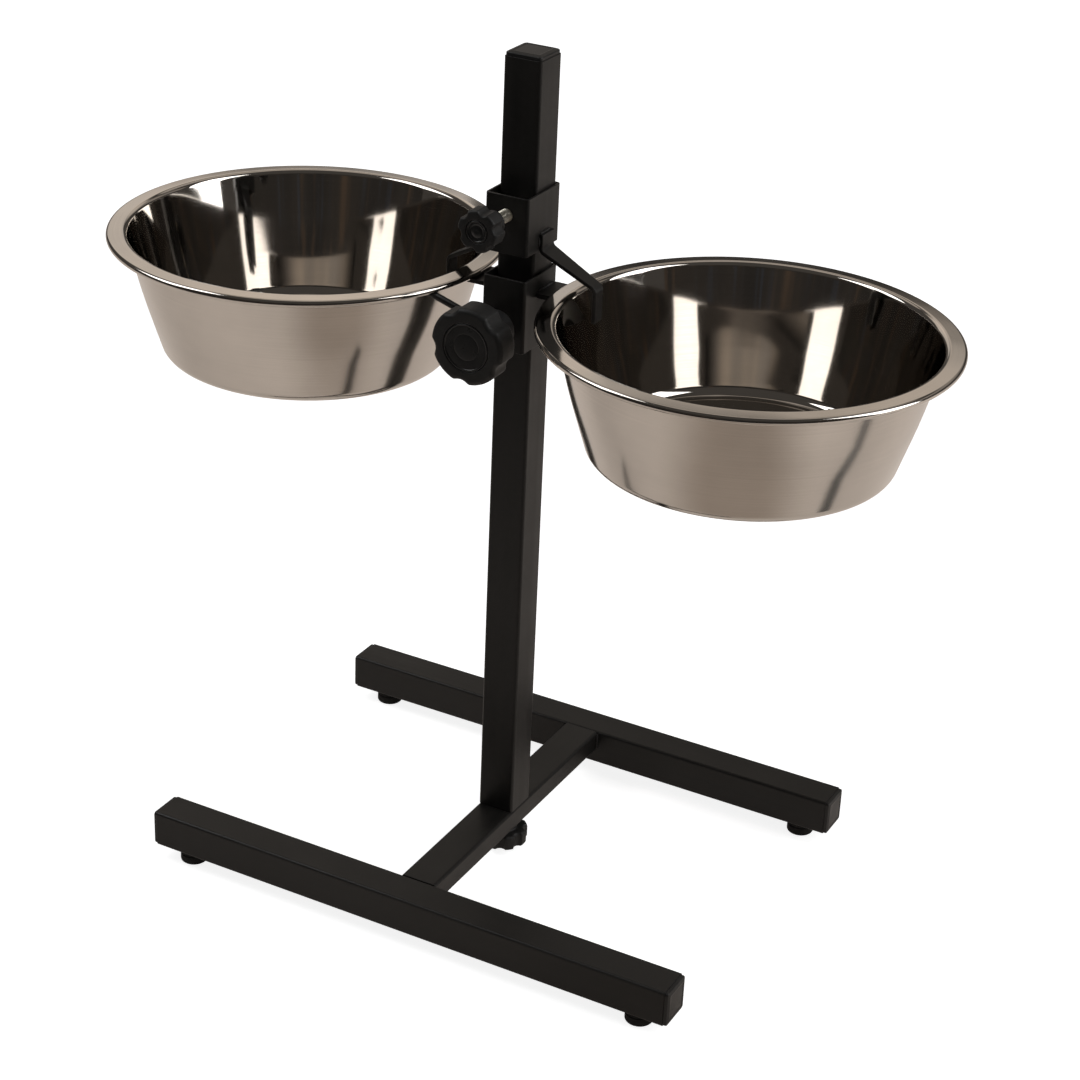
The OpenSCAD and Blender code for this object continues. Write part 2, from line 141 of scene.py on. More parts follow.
# Studio: light from all round, the floor's tones in mirrors with a painted shadow and a painted pool of
# light, lamps and cards
AMBIENT = 0.12
FLOOR_REACH = 9.0
FLOOR_GLOW = 0.85
FLOOR_FAR = (0.7, 2.2)
FLOOR_SHINE = 0.22
FLOOR_WARM = (0.84, 0.75, 0.68, 1)
# Painted shadow on the floor in front of the right-hand bowl, seen only in mirrors: its colour, middle and
# reach
FLOOR_SHADOW_TONE = (0.48, 0.405, 0.345, 1)
FLOOR_SHADOW_AT = (0.27, -0.32)
FLOOR_SHADOW_REACH = (0.10, 0.38)
# Painted pool of light: in mirrors the floor darkens towards the front between these depths
FLOOR_POOL_FADE = (-0.95, -0.45)
# Painted shadow of a lamp stand's leg on the floor, seen only in mirrors: its ends, width and height
LEG_SHADOW = ((0.45, 0.011), (0.80, 0.219))
LEG_SHADOW_WIDTH = 0.05
LEG_SHADOW_LEVEL = 2 * mm
BOWL_LEVEL = 0.38
LAMP_AIM = (0, 0, 0.35)
LAMP_AWAY = 2.7
LAMP_TONE = 4.0
# Azimuth, elevation, width, height
LAMPS = {"left_softbox": (-70, 44, 1.3, 1.6), "right_softbox": (105, 31, 1.3, 2.7)}
# Azimuths, elevations, distance, tone, soft degrees at the sides, foot and top, share of clutter
CARDS = {
    "front_card": ((-50, 80), (-5, 32), 3.0, 0.034, (0, 0, 0), 0.4),
    "back_right_card": ((128, 180), (12, 38), 3.2, 0.32, (0, 14, 6), 0),
    "back_card": ((180, 208), (13, 38), 3.2, 0.58, (0, 12, 6), 0),
    "back_left_card": ((208, 240), (7, 38), 3.2, 0.76, (0, 8, 6), 0),
    "ceiling_card": ((145, 262), (41, 80), 3.0, 0.55, (35, 0, 12), 0),
}


def centre_of(node):
    """Middle of a solid's box."""
    low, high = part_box(node)
    return (low + high) / 2


class Wire:
    """A node socket for Python expressions: every operator adds a Math node to its tree."""

    def __init__(self, tree, socket=None):
        self.tree = tree
        self.socket = socket

    def node(self, kind, sockets=None, out=0, **settings):
        """Adds a node by its full name, or a shader node by its short one, and gives its outputs."""
        made = self.tree.nodes.new(kind if "Node" in kind else "ShaderNode" + kind)
        for name, value in settings.items():
            setattr(made, name, value)
        for name, value in (sockets or {}).items():
            self.plug(made.inputs[name], value)
        if isinstance(out, tuple):
            return [Wire(self.tree, made.outputs[name]) for name in out]
        return Wire(self.tree, made.outputs[out])

    def plug(self, socket, value):
        """Links a wire to a socket, or sets the socket's own value."""
        if isinstance(value, Wire):
            self.tree.links.new(value.socket, socket)
        else:
            socket.default_value = value

    def maths(self, operation, *others):
        """A Math node with this value first."""
        return self.node("Math", dict(enumerate((self, *others))), operation=operation)

    def after(self, operation, other):
        """A Math node with this value second."""
        return self.node("Math", {0: other, 1: self}, operation=operation)

    __add__ = __radd__ = partialmethod(maths, "ADD")
    __sub__ = partialmethod(maths, "SUBTRACT")
    __rsub__ = partialmethod(after, "SUBTRACT")
    __mul__ = __rmul__ = partialmethod(maths, "MULTIPLY")
    __truediv__ = partialmethod(maths, "DIVIDE")
    __rtruediv__ = partialmethod(after, "DIVIDE")
    __pow__ = partialmethod(maths, "POWER")
    __neg__ = partialmethod(maths, "MULTIPLY", -1)

    def parts(self, *axes):
        """The named coordinates of a vector."""
        return self.node("SeparateXYZ", {"Vector": self}, out=axes)

    def length(self):
        """Length of a vector."""
        return self.node("VectorMath", {0: self}, "Value", operation="LENGTH")

    def between(self, low, high):
        """0 below low, 1 above high, with a soft ramp."""
        sockets = {"Value": self, "From Min": low, "From Max": high}
        return self.node("MapRange", sockets, interpolation_type="SMOOTHSTEP")

    def stretched(self, scale, move=(0, 0, 0)):
        """Coordinates with their own scale on each axis."""
        return self.node("Mapping", {"Vector": self, "Scale": scale, "Location": move})

    def noise(self, scale, detail=2, roughness=0.5):
        """Soft noise around 0.5; its spots are about 1 / scale across."""
        sockets = {"Vector": self, "Scale": scale, "Detail": detail, "Roughness": roughness}
        return self.node("TexNoise", sockets)

    def tint(self, first, second):
        """From the first colour to the second as this value goes from 0 to 1."""
        return self.node("Mix", {0: self, 6: first, 7: second}, 2, data_type="RGBA")

    def bump(self, strength, depth, below=None):
        """Normal of a surface whose height follows this value, over another normal."""
        sockets = {"Height": self, "Strength": strength, "Distance": depth}
        if below is not None:
            sockets["Normal"] = below
        return self.node("Bump", sockets)


def grey(value, warmth=0.0):
    """A linear grey; warmth lowers green a little and blue twice as much."""
    return (value, value * (1 - warmth), value * (1 - 2 * warmth), 1)


def new_finish(name):
    """A material and the wire of its Object coordinates."""
    material = bpy.data.materials.new(name)
    material.use_nodes = True
    return material, Wire(material.node_tree).node("TexCoord", out="Object")


def finished(material, sockets):
    """Sets or links the sockets of a material's main shader."""
    tree = material.node_tree
    for name, value in sockets.items():
        Wire(tree).plug(tree.nodes["Principled BSDF"].inputs[name], value)
    return material


def powder_coat(name, along):
    """Satin black powder coat: orange peel, dust, soft bands of the drawn tube along one axis."""
    material, place = new_finish(name)
    bands = place.stretched([1.5 if axis == along else 130.0 for axis in "XYZ"]).noise(1, 2)
    clouds = place.noise(22, 3)
    peel = place.noise(1100, 1)
    dust = place.noise(2600, 1).between(0.70, 0.78)
    shade = (bands * 0.6 + clouds * 0.4).between(0.3, 0.7)
    colour = shade.tint(grey(0.0085, 0.07), grey(0.0135, 0.09))
    return finished(material, {
        "Base Color": (dust * 0.35).tint(colour, grey(0.03, 0.05)),
        "Roughness": 0.33 + 0.10 * shade + 0.10 * clouds,
        "Specular IOR Level": 0.28,
        "Normal": (peel + clouds * 0.5).bump(0.10, 0.15 * mm),
    })


def moulded_plastic(name, tone, rough, grain, grain_depth):
    """Black moulded plastic with a fine eroded grain and soft flow marks."""
    material, place = new_finish(name)
    fine = place.noise(grain, 2, 0.6)
    flow = place.stretched((60, 60, 25)).noise(1, 3)
    worn = place.noise(140, 3).between(0.55, 0.75)
    colour = flow.between(0.3, 0.7).tint(grey(tone * 0.8, 0.02), grey(tone * 1.25, 0.03))
    return finished(material, {
        "Base Color": (worn * 0.25).tint(colour, grey(tone * 2.2, 0.03)),
        "Roughness": rough + 0.10 * (fine - 0.5) + 0.06 * flow - 0.05 * worn,
        "Specular IOR Level": 0.35,
        "Normal": fine.bump(0.35, grain_depth),
    })


def foot_rubber():
    """Matt rubber with a bloom of dust towards the floor."""
    material, place = new_finish("foot_rubber")
    fine = place.noise(1600, 2, 0.6)
    clouds = place.noise(160, 3)
    height = place.parts("Z")[0]
    bloom = (1 - height.between(0.0, 7 * mm)) * clouds.between(0.4, 0.7)
    return finished(material, {
        "Base Color": (bloom * 0.6).tint(grey(0.009, 0.03), grey(0.035, 0.08)),
        "Roughness": 0.66 + 0.14 * clouds,
        "Specular IOR Level": 0.3,
        "Normal": fine.bump(0.3, 0.08 * mm),
    })


def zinc_plate():
    """Dull zinc plate: small crystals, a yellowish passivated cast and darker stains."""
    material, place = new_finish("zinc_plate")
    crystals = place.node("TexVoronoi", {"Vector": place, "Scale": 1500.0}, out="Color")
    crystal = place.node("SeparateColor", {"Color": crystals}, out="Red")
    clouds = place.noise(260, 3)
    shade = (crystal * 0.5 + clouds * 0.5).between(0.25, 0.75)
    stain = place.noise(420, 2).between(0.62, 0.8)
    colour = shade.tint((0.46, 0.44, 0.37, 1), (0.72, 0.69, 0.60, 1))
    return finished(material, {
        "Base Color": (stain * 0.5).tint(colour, (0.30, 0.27, 0.20, 1)),
        "Metallic": 1.0,
        "Roughness": 0.26 + 0.16 * clouds + 0.06 * crystal,
        "Normal": clouds.bump(0.12, 0.1 * mm),
    })


def steel(name, axis, rough, lines, line_depth):
    """Stainless steel with fine polishing lines round the bowl."""
    material, place = new_finish(name)
    centred = place.stretched((1, 1, 1), (-axis.x, -axis.y, 0))
    x, y = centred.parts("X", "Y")
    radius = (x * x + y * y).maths("SQRT").maths("MAXIMUM", mm)
    along = place.node("Attribute", out="Fac", attribute_name="along")
    ring = place.node("CombineXYZ", {"X": x / radius * 0.9, "Y": y / radius * 0.9, "Z": along * lines})
    scratches = ring.noise(1, 4, 0.7)
    fine = ring.stretched((2.5, 2.5, 4)).noise(1, 2, 0.6)
    clouds = centred.noise(26, 3)
    waves = centred.stretched((24, 24, 9)).noise(1, 1)
    smear = centred.stretched((40, 40, 14)).noise(1, 3).between(0.45, 0.75)
    dark, light = [tuple(channel * share for channel in STEEL[:3]) + (1,) for share in (0.90, 1.08)]
    shade = (scratches * 0.6 + clouds * 0.4).between(0.3, 0.7)
    return finished(material, {
        "Base Color": shade.tint(dark, light),
        "Metallic": 1.0,
        "Roughness": rough * (0.75 + 0.35 * scratches + 0.20 * clouds + 0.25 * smear),
        "Normal": (scratches * 0.6 + fine * 0.4).bump(0.25, line_depth, waves.bump(1, 0.25 * mm)),
    })


def new_object(name, data):
    """Puts a mesh, lamp or camera into the scene as an object at the origin."""
    made = bpy.data.objects.new(name, data)
    scene.collection.objects.link(made)
    return made


def mesh_of(name, build):
    """Ends a build and gives its mesh."""
    mesh = bpy.data.meshes.new(name)
    build.to_mesh(mesh)
    build.free()
    return mesh


def evaluated(made):
    """A plain mesh of an object with its modifiers applied."""
    bpy.context.view_layer.update()
    graph = bpy.context.evaluated_depsgraph_get()
    return bpy.data.meshes.new_from_object(made.evaluated_get(graph))


def clean(mesh):
    """Merges doubled points and turns all faces outwards."""
    build = bmesh.new()
    build.from_mesh(mesh)
    bmesh.ops.remove_doubles(build, verts=build.verts, dist=1e-6)
    bmesh.ops.dissolve_degenerate(build, edges=build.edges, dist=1e-7)
    bmesh.ops.recalc_face_normals(build, faces=build.faces)
    build.to_mesh(mesh)
    build.free()


def dress(made, body, nodes=(), sharp=42):
    """Gives a piece its shading and body, and hides the solids it stands for."""
    made.data.shade_smooth()
    made.data.set_sharp_from_angle(angle=radians(sharp))
    shading = made.modifiers.new("even_shading", "WEIGHTED_NORMAL")
    shading.keep_sharp = True
    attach(made, body)
    if nodes:
        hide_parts(*nodes)


def rounded_rectangle(width, depth, radius):
    """Points of a rectangle with round corners around the origin, anticlockwise."""
    points = []
    for side_x, side_y, start in ((1, 1, 0), (-1, 1, 90), (-1, -1, 180), (1, -1, 270)):
        for step in range(CORNER_STEPS + 1):
            angle = radians(start + 90 * step / CORNER_STEPS)
            points.append((side_x * (width / 2 - radius) + radius * cos(angle),
                           side_y * (depth / 2 - radius) + radius * sin(angle)))
    return points


def loft(name, rings, material, closed=False):
    """Skin over rings of points; its ends are closed, or its last ring joins its first."""
    build = bmesh.new()
    rows = [[build.verts.new(point) for point in ring] for ring in rings]
    pairs = list(zip(rows, rows[1:]))
    if closed:
        pairs.append((rows[-1], rows[0]))
    else:
        build.faces.new(rows[0])
        build.faces.new(rows[-1])
    count = len(rows[0])
    for lower, upper in pairs:
        for i in range(count):
            build.faces.new((lower[i], lower[(i + 1) % count], upper[(i + 1) % count], upper[i]))
    mesh = mesh_of(name, build)
    clean(mesh)
    mesh.materials.append(material)
    return new_object(name, mesh)


def quarter_round(radius, steps=4):
    """Insets and heights along a rounded edge, from the side towards the top."""
    turns = [pi / 2 * i / steps for i in range(steps + 1)]
    return [(radius * (1 - cos(turn)), radius * sin(turn)) for turn in turns]


def stack(stations, width, depth, corner, place):
    """Rings of rounded rectangles at stations of inset and height; corner gives an inset's radius."""
    rings = []
    for inset, height in stations:
        outline = rounded_rectangle(width - 2 * inset, depth - 2 * inset, corner(inset))
        rings.append([place @ Vector((u, v, height)) for u, v in outline])
    return rings


def both_ends(edge):
    """Stations of a piece that is the same above and below its middle."""
    return [(inset, -height) for inset, height in reversed(edge)] + edge


def block(low, high, soft, corner):
    """Rings of a block between two corners of its box, with rounded edges and corners."""
    size = high - low
    edge = [(inset, size.z / 2 - soft + rise) for inset, rise in quarter_round(soft)]
    place = Matrix.Translation((low + high) / 2)
    return stack(both_ends(edge), size.x, size.y, lambda inset: corner - inset, place)


def tube(name, node, along, material):
    """A tube of the node's size along one axis, with rounded rims at its open ends."""
    low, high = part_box(node)
    axis = "XYZ".index(along)
    first, second = [i for i in range(3) if i != axis]
    size = high - low
    outside = [(inset, size[axis] / 2 - RIM_ROUND + rise) for inset, rise in quarter_round(RIM_ROUND)]
    inside = [(TUBE_WALL - inset, height) for inset, height in reversed(outside)]
    turn = Matrix([[float(row == column) for column in (first, second, axis)] for row in range(3)])
    place = Matrix.Translation((low + high) / 2) @ turn.to_4x4()

    def corner(inset):
        return max(TUBE_CORNER - inset, 0.4 * mm)

    rings = stack(both_ends(outside + inside), size[first], size[second], corner, place)
    return loft(name, rings, material, closed=True)


def drill(made, centre):
    """Cuts the hole of a hand screw through the front wall of a piece."""
    build = bmesh.new()
    turn = Vector((0, 1, 0)).to_track_quat("Z", "Y").to_matrix().to_4x4()
    radius = SCREW_HOLE / 2
    bmesh.ops.create_cone(build, cap_ends=True, segments=48, radius1=radius, radius2=radius,
                          depth=8 * mm, matrix=Matrix.Translation(centre) @ turn)
    cutter = new_object("bit", mesh_of("bit", build))
    cutting = made.modifiers.new("hole", "BOOLEAN")
    cutting.object = cutter
    cutting.solver = "EXACT"
    cut_mesh = evaluated(made)
    made.modifiers.remove(cutting)
    made.data = cut_mesh
    bpy.data.objects.remove(cutter)


def new_tree(name, inputs):
    """A Geometry Nodes tree with named inputs, and the function that gives an input as a wire."""
    tree = bpy.data.node_groups.new(name, "GeometryNodeTree")
    for label, kind in [("Geometry", "Geometry"), *inputs]:
        tree.interface.new_socket(label, in_out="INPUT", socket_type="NodeSocket" + kind)
    tree.interface.new_socket("Geometry", in_out="OUTPUT", socket_type="NodeSocketGeometry")
    entry = tree.nodes.new("NodeGroupInput")
    return tree, lambda label: Wire(tree, entry.outputs[label])


def end_tree(result, finishes):
    """Ends a tree: real geometry, then the finish of each skin mark."""
    result = result.node("GeometryNodeRealizeInstances", {"Geometry": result})
    skin = named(result, "skin")
    for number, finish in enumerate(finishes):
        picked = skin.maths("GREATER_THAN", number - 0.5)
        sockets = {"Geometry": result, "Selection": picked, "Material": finish}
        result = result.node("GeometryNodeSetMaterial", sockets)
    result.plug(result.tree.nodes.new("NodeGroupOutput").inputs["Geometry"], result)


def named(wire, name):
    """A number stored on the points of the geometry."""
    return wire.node("GeometryNodeInputNamedAttribute", {"Name": name}, "Attribute", data_type="FLOAT")


def run_tree(name, carrier, tree, values):
    """Runs a tree on a carrier mesh and gives the result as a plain object."""
    base = new_object(name + "_carrier", carrier)
    making = base.modifiers.new("making", "NODES")
    making.node_group = tree
    for item in tree.interface.items_tree:
        if item.in_out == "INPUT" and item.name in values:
            making[item.identifier] = values[item.name]
    mesh = evaluated(base)
    bpy.data.objects.remove(base)
    mesh.name = name
    return new_object(name, mesh)


def chain(name, runs, marks=None):
    """A carrier mesh: runs of points joined by edges, with the numbers of each mark."""
    points = [point for run in runs for point in run]
    edges = []
    start = 0
    for run in runs:
        edges += [(start + i, start + i + 1) for i in range(len(run) - 1)]
        start += len(run)
    mesh = bpy.data.meshes.new(name)
    mesh.from_pydata(points, edges, [])
    for mark, numbers in (marks or {}).items():
        mesh.attributes.new(mark, "FLOAT", "POINT").data.foreach_set("value", numbers)
    return mesh


SHAPES = {"Lobes": 1.0, "Lobe radius": 1.0, "Notch radius": 0.1, "Notch depth": 0.0, "Notch turn": 0.0,
          "Softness": mm, "Flats": 6.0, "Across flats": 10.0, "Pitch": PITCH, "Thread depth": 0.0}
FINISHES = ("First finish", "Second finish", "Third finish")


def turned_tree():
    """Turns a profile round the Z axis; its radius can follow lobes with notches, flats and a thread."""
    inputs = [("Segments", "Int")] + [(label, "Float") for label in SHAPES]
    tree, given = new_tree("turned_piece", inputs + [(label, "Material") for label in FINISHES])
    profile, segments = given("Geometry"), given("Segments")
    count = profile.node("GeometryNodeAttributeDomainSize", {"Geometry": profile}, component="MESH")
    grid = profile.node("GeometryNodeMeshGrid", {"Vertices X": segments + 1, "Vertices Y": count})
    index = profile.node("GeometryNodeInputIndex")
    column = ((index + 0.5) / count).maths("FLOOR")
    row = index - column * count

    def on_profile(value, kind="FLOAT"):
        sockets = {"Geometry": profile, "Value": value, "Index": row}
        return profile.node("GeometryNodeSampleIndex", sockets, data_type=kind)

    point = on_profile(profile.node("GeometryNodeInputPosition"), "FLOAT_VECTOR")
    radius, height = point.parts("X", "Z")
    angle = column / segments * tau

    lobe, notch = given("Lobe radius"), given("Notch radius")
    sector = pi / given("Lobes")
    slant = angle.maths("SUBTRACT", given("Notch turn")).maths("WRAP", sector, -sector)
    far = lobe - given("Notch depth") + notch
    aside = far * slant.maths("SINE")
    chord = (notch ** 2 - aside * aside).maths("MAXIMUM", 0).maths("SQRT")
    missed = aside.maths("ABSOLUTE").maths("GREATER_THAN", notch)
    reach = far * slant.maths("COSINE") - chord + missed
    share = reach.maths("SMOOTH_MIN", lobe, given("Softness")) / lobe
    radius = radius * (1 - on_profile(named(profile, "lobed")) * (1 - share))

    half_flat = pi / given("Flats")
    flat = given("Across flats") / 2 / angle.maths("WRAP", half_flat, -half_flat).maths("COSINE")
    radius = radius.maths("MINIMUM", flat)

    phase = height / given("Pitch") - angle / tau
    ridge = (phase.maths("FRACT") - 0.5).maths("ABSOLUTE") * 2
    groove = 1 - ridge.between(0.15, 0.80)
    radius = radius - groove * given("Thread depth") * on_profile(named(profile, "threaded"))

    place = radius.node("CombineXYZ", {
        "X": radius * angle.maths("COSINE"), "Y": radius * angle.maths("SINE"), "Z": height})
    shape = grid.node("GeometryNodeSetPosition", {"Geometry": grid, "Position": place})
    for mark in ("along", "skin"):
        sockets = {"Geometry": shape, "Name": mark, "Value": on_profile(named(profile, mark))}
        shape = shape.node("GeometryNodeStoreNamedAttribute", sockets, data_type="FLOAT")
    shape = shape.node("GeometryNodeMergeByDistance", {"Geometry": shape, "Distance": 1e-6})
    end_tree(shape, [given(label) for label in FINISHES])
    return tree


TURNED = turned_tree()
TO_FRONT = Matrix.Rotation(pi / 2, 4, "X")
UPSIDE_DOWN = Matrix.Rotation(pi, 4, "X")


def turned(name, profile, finishes, place, segments=96, marks=None, **shape):
    """A turned piece from a profile of radius and height, moved to its place."""
    along = [0.0]
    for (r0, z0), (r1, z1) in zip(profile, profile[1:]):
        along.append(along[-1] + hypot(r1 - r0, z1 - z0))
    numbers = {mark: [float(rule(r, z)) for r, z in profile] for mark, rule in (marks or {}).items()}
    numbers["along"] = along
    carrier = chain(name, [[(r, 0, z) for r, z in profile]], numbers)
    values = {"Segments": segments, **SHAPES, **dict(zip(FINISHES, finishes * len(FINISHES)))}
    for label, value in shape.items():
        values[label.replace("_", " ").capitalize()] = value
    made = run_tree(name, carrier, TURNED, values)
    made.data.transform(place)
    clean(made.data)
    return made


def arc(centre, radius, start, sweep, steps):
    """Points on an arc, angles in degrees."""
    turns = [radians(start + sweep * i / steps) for i in range(steps + 1)]
    return [(centre[0] + radius * cos(turn), centre[1] + radius * sin(turn)) for turn in turns]


def bent_path(corners):
    """Points and left-hand directions of a flat path with bends at its corners (x, y, radius, steps)."""
    def left_of(run):
        return Vector((-run.y, run.x)).normalized()

    points = [Vector(corner[:2]) for corner in corners]
    path = [(points[0], left_of(points[1] - points[0]))]
    for before, here, after, corner in zip(points, points[1:], points[2:], corners[1:]):
        radius, steps = corner[2:]
        into = (here - before).normalized()
        out = (after - here).normalized()
        turn = atan2(into.x * out.y - into.y * out.x, into.dot(out))
        side = copysign(1, turn)
        left = left_of(into)
        start = here - into * radius * tan(abs(turn) / 2)
        centre = start + left * side * radius
        for step in range(steps + 1):
            spoke = Matrix.Rotation(turn * step / steps, 2) @ left
            path.append((centre - spoke * side * radius, spoke))
    return path + [(points[-1], left_of(points[-1] - points[-2]))]


def bead_tree():
    """A weld bead: a rippled, uneven roll along each chain of points, tapered at its ends."""
    tree, given = new_tree("weld_bead", [("Bead radius", "Float"), ("Finish", "Material")])
    path = given("Geometry")
    curve = path.node("GeometryNodeMeshToCurve", {"Mesh": path})
    sockets = {"Curve": curve, "Length": BEAD_RIPPLE / 6}
    curve = path.node("GeometryNodeResampleCurve", sockets, mode="LENGTH")
    share, run = path.node("GeometryNodeSplineParameter", out=("Factor", "Length"))
    place = path.node("GeometryNodeInputPosition")
    wobble = place.noise(420, 1)
    ripple = (run / BEAD_RIPPLE * tau + wobble * 5).maths("SINE").maths("ABSOLUTE")
    taper = (share * (1 - share) * 4).maths("POWER", 0.22)
    size = taper * (1 - RIPPLE_DEPTH * ripple + (wobble - 0.5) * 0.5)
    sockets = {"Resolution": 12, "Radius": given("Bead radius")}
    ring = path.node("GeometryNodeCurvePrimitiveCircle", sockets)
    sockets = {"Curve": curve, "Profile Curve": ring, "Scale": size, "Fill Caps": True}
    roll = path.node("GeometryNodeCurveToMesh", sockets)
    end_tree(roll, [given("Finish")])
    return tree


BEADS = bead_tree()


def beads(name, runs, radius, finish):
    """Weld beads along runs of points, as one mesh."""
    made = run_tree(name, chain(name, runs), BEADS, {"Bead radius": radius, "Finish": finish})
    clean(made.data)
    return made


def towards(azimuth, elevation):
    """Direction at an azimuth from -Y towards +X and an elevation, in degrees."""
    turn, rise = radians(azimuth), radians(elevation)
    return Vector((sin(turn) * cos(rise), -cos(turn) * cos(rise), sin(rise)))


def around(azimuth, elevation, distance):
    """A point of the studio as seen from between the bowls."""
    return Vector((0, 0, BOWL_LEVEL)) + towards(azimuth, elevation) * distance


def photo_camera():
    """The camera of the photo."""
    azimuth, elevation, roll = CAMERA_TURN
    data = bpy.data.cameras.new("photo_camera")
    data.sensor_width = CAMERA_SENSOR
    data.lens = CAMERA_LENS
    data.clip_start = 0.05
    data.clip_end = 50
    camera = new_object("photo_camera", data)
    back = towards(azimuth, elevation).to_track_quat("Z", "Y")
    camera.rotation_mode = "QUATERNION"
    camera.rotation_quaternion = back @ Quaternion((0, 0, 1), radians(roll))
    camera.location = CAMERA_AT
    scene.camera = camera


def seen_rays(wire):
    """1 for rays of the camera and of clear materials, 0 for the rest."""
    camera, clear = wire.node("LightPath", out=("Is Camera Ray", "Is Transmission Ray"))
    return camera.maths("MAXIMUM", clear)


def white_surroundings():
    """White behind the object, dim walls for what is mirrored and for the light on it."""
    world = bpy.data.worlds.new("white_surroundings")
    world.use_nodes = True
    scene.world = world
    sky = world.node_tree.nodes["Background"]
    wire = Wire(world.node_tree)
    mirrored = wire.node("LightPath", out="Is Glossy Ray")
    wire.plug(sky.inputs["Color"], mirrored.tint(grey(1), grey(0.6, 0.08)))
    wire.plug(sky.inputs["Strength"], AMBIENT + (1 - AMBIENT) * seen_rays(wire))


def unlit(name):
    """A material without its main shader, the wire of its Object coordinates and its surface socket."""
    material, place = new_finish(name)
    nodes = material.node_tree.nodes
    nodes.remove(nodes["Principled BSDF"])
    return material, place, nodes["Material Output"].inputs["Surface"]


def pale_floor():
    """A white floor that keeps the object's soft shadow and shows warmer in mirrors, where it has a painted
    pool of light that darkens towards the front and a painted shadow in front of the right-hand bowl.
    """
    build = bmesh.new()
    bmesh.ops.create_grid(build, x_segments=2, y_segments=2, size=FLOOR_REACH)
    floor = new_object("floor", mesh_of("floor", build))
    material, place, surface = unlit("floor_paper")
    mirrored = place.node("LightPath", out="Is Glossy Ray")
    # Painted pool of light: in mirrors the floor fades to dark towards the front
    painted_light_pool = place.parts("Y")[0].between(*FLOOR_POOL_FADE)
    # Painted shadow in front of the right-hand bowl, on the floor as mirrors see it
    away = place.stretched((1, 1, 1), (-FLOOR_SHADOW_AT[0], -FLOOR_SHADOW_AT[1], 0)).length()
    tone = away.between(*FLOOR_SHADOW_REACH).tint(FLOOR_SHADOW_TONE, FLOOR_WARM)
    painted_mirror_floor = painted_light_pool.tint(grey(0.02), tone)
    paper = place.noise(300, 3).tint(grey(0.60), grey(0.64))
    matt = place.node("BsdfDiffuse", {"Color": mirrored.tint(paper, painted_mirror_floor)})
    white = (FLOOR_GLOW + (1 - FLOOR_GLOW) * place.length().between(*FLOOR_FAR)) * seen_rays(place)
    white = place.node("Emission", {"Strength": white})
    # The floor's glow in mirrors carries the painted shadow and the painted pool of light
    shine = place.node("Emission", {"Color": tone, "Strength": FLOOR_SHINE * mirrored * painted_light_pool})
    glow = place.node("AddShader", {0: white, 1: shine})
    place.plug(surface, place.node("AddShader", {0: matt, 1: glow}))
    floor.data.materials.append(material)


def soft_light(name, azimuth, elevation, width, height):
    """A softbox whose face looks LAMP_TONE times as bright as white."""
    data = bpy.data.lights.new(name, "AREA")
    data.shape = "RECTANGLE"
    data.size = width
    data.size_y = height
    data.energy = LAMP_TONE * pi * width * height
    lamp = new_object(name, data)
    lamp.location = around(azimuth, elevation, LAMP_AWAY)
    lamp.rotation_mode = "QUATERNION"
    lamp.rotation_quaternion = (lamp.location - Vector(LAMP_AIM)).to_track_quat("Z", "Y")
    lamp.visible_camera = False


def mirrored_piece(name, build, paint):
    """A glowing piece of the studio that only mirrors see."""
    stage_piece = new_object(name, mesh_of(name, build))
    material, place, surface = unlit(name)
    place.plug(surface, place.node("Emission", {"Color": paint(place)}))
    stage_piece.data.materials.append(material)
    stage_piece.visible_camera = False
    stage_piece.visible_diffuse = False
    stage_piece.visible_shadow = False


def stand_leg():
    """A painted shadow of a lamp stand's leg: a dark strip on the floor, which the right-hand bowl mirrors.
    """
    start, end = [Vector(place) for place in LEG_SHADOW]
    aside = (end - start).orthogonal().normalized() * LEG_SHADOW_WIDTH / 2
    corners = [start - aside, end - aside, end + aside, start + aside]
    build = bmesh.new()
    build.faces.new([build.verts.new((x, y, LEG_SHADOW_LEVEL)) for x, y in corners])

    # Colour of the painted shadow strip
    def paint(place):
        return place.noise(9, 2).between(0.3, 0.7).tint(grey(0.07, 0.02), grey(0.13))

    mirrored_piece("stand_leg", build, paint)


def studio_card(name, azimuths, elevations, distance, tone, soft, clutter):
    """A cloth card, curved round the object, with soft edges and upright brown and blue clutter."""
    def rise(degrees, width):
        return min(1, degrees / width) if width else 1

    def paint(place):
        inner = place.node("Attribute", out="Fac", attribute_name="fade").between(0, 1)
        cloth = place.noise(1.2, 2).between(0.3, 0.7).tint(grey(tone * 0.85, 0.08), grey(tone * 1.15, 0.12))
        cloth = inner.tint(grey(0.02, 0.05), cloth)
        upright = place.stretched((3.5, 3.5, 0.7))
        brown = upright.noise(1, 2).between(0.52, 0.72) * clutter
        blue = upright.stretched((1.6, 1.6, 1), (4, 7, 0)).noise(1, 2).between(0.55, 0.72) * clutter
        cloth = brown.tint(cloth, (0.13, 0.085, 0.055, 1))
        return blue.tint(cloth, (0.055, 0.065, 0.085, 1))

    build = bmesh.new()
    fade = build.verts.layers.float.new("fade")
    columns, levels = 32, 16
    rows = []
    for j in range(levels + 1):
        elevation = elevations[0] + (elevations[1] - elevations[0]) * j / levels
        row = []
        for i in range(columns + 1):
            turn = azimuths[0] + (azimuths[1] - azimuths[0]) * i / columns
            point = build.verts.new(around(turn, elevation, distance))
            sides = min(turn - azimuths[0], azimuths[1] - turn)
            foot, head = elevation - elevations[0], elevations[1] - elevation
            point[fade] = min(rise(sides, soft[0]), rise(foot, soft[1]), rise(head, soft[2]))
            row.append(point)
        rows.append(row)
    for low, high in zip(rows, rows[1:]):
        for i in range(columns):
            build.faces.new((low[i], low[i + 1], high[i + 1], high[i]))
    mirrored_piece(name, build, paint)


